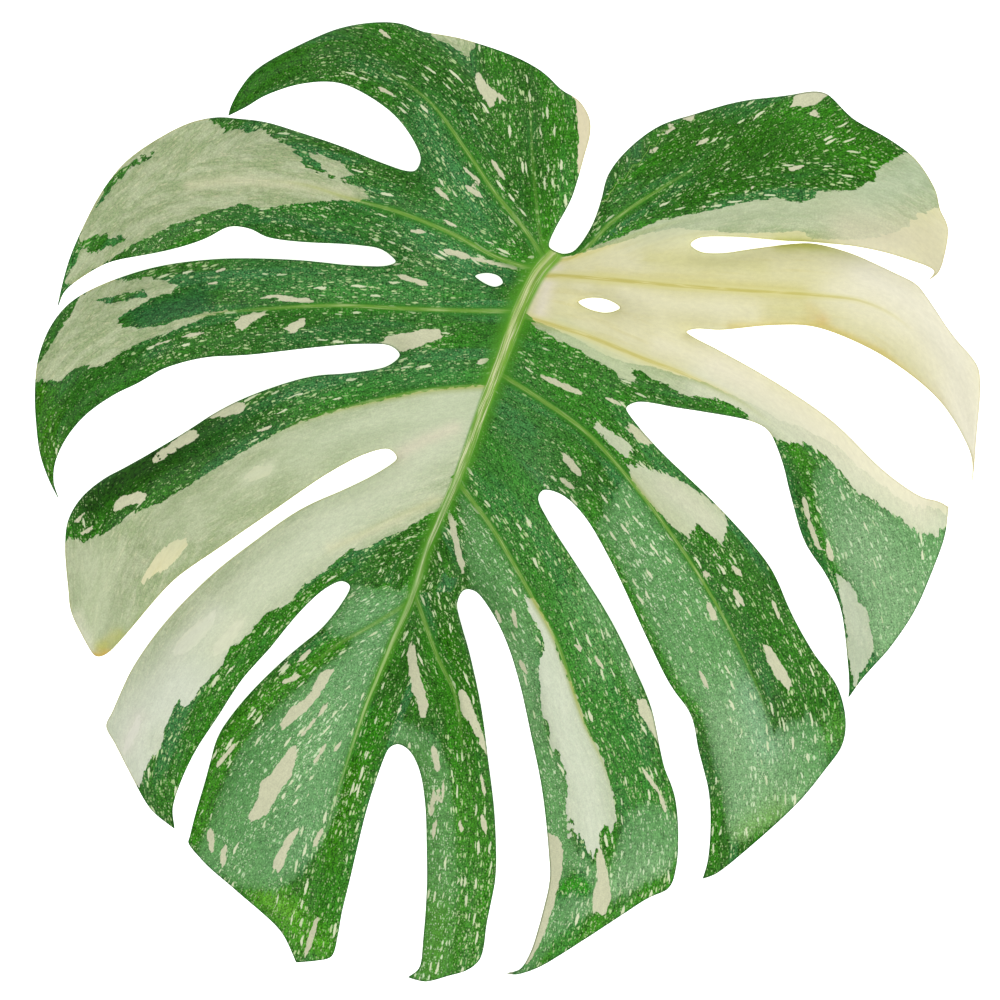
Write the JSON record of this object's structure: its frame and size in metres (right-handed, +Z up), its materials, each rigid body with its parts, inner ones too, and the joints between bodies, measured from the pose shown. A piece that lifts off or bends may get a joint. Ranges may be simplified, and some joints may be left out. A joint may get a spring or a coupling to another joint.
{
  "type": "variegated monstera leaf",
  "caption": "Large heart-shaped cut leaf blade with deep lobes, small holes beside its midrib and raised ribs beneath, green splashed with cream, lying face up.",
  "frame": {"origin": "middle of the leaf's box, on the surface that the leaf lies on", "axes": "+Z up through the leaf's upper face, +Y from the leaf's end lobe towards its stalk end, +X to the right seen from above"},
  "size_m": [0.3779, 0.3834, 0.0251],
  "materials": {
    "leaf": "satin"
  },
  "bodies": {
    "root": {"leaf": "leaf"}
  },
  "joints": []
}
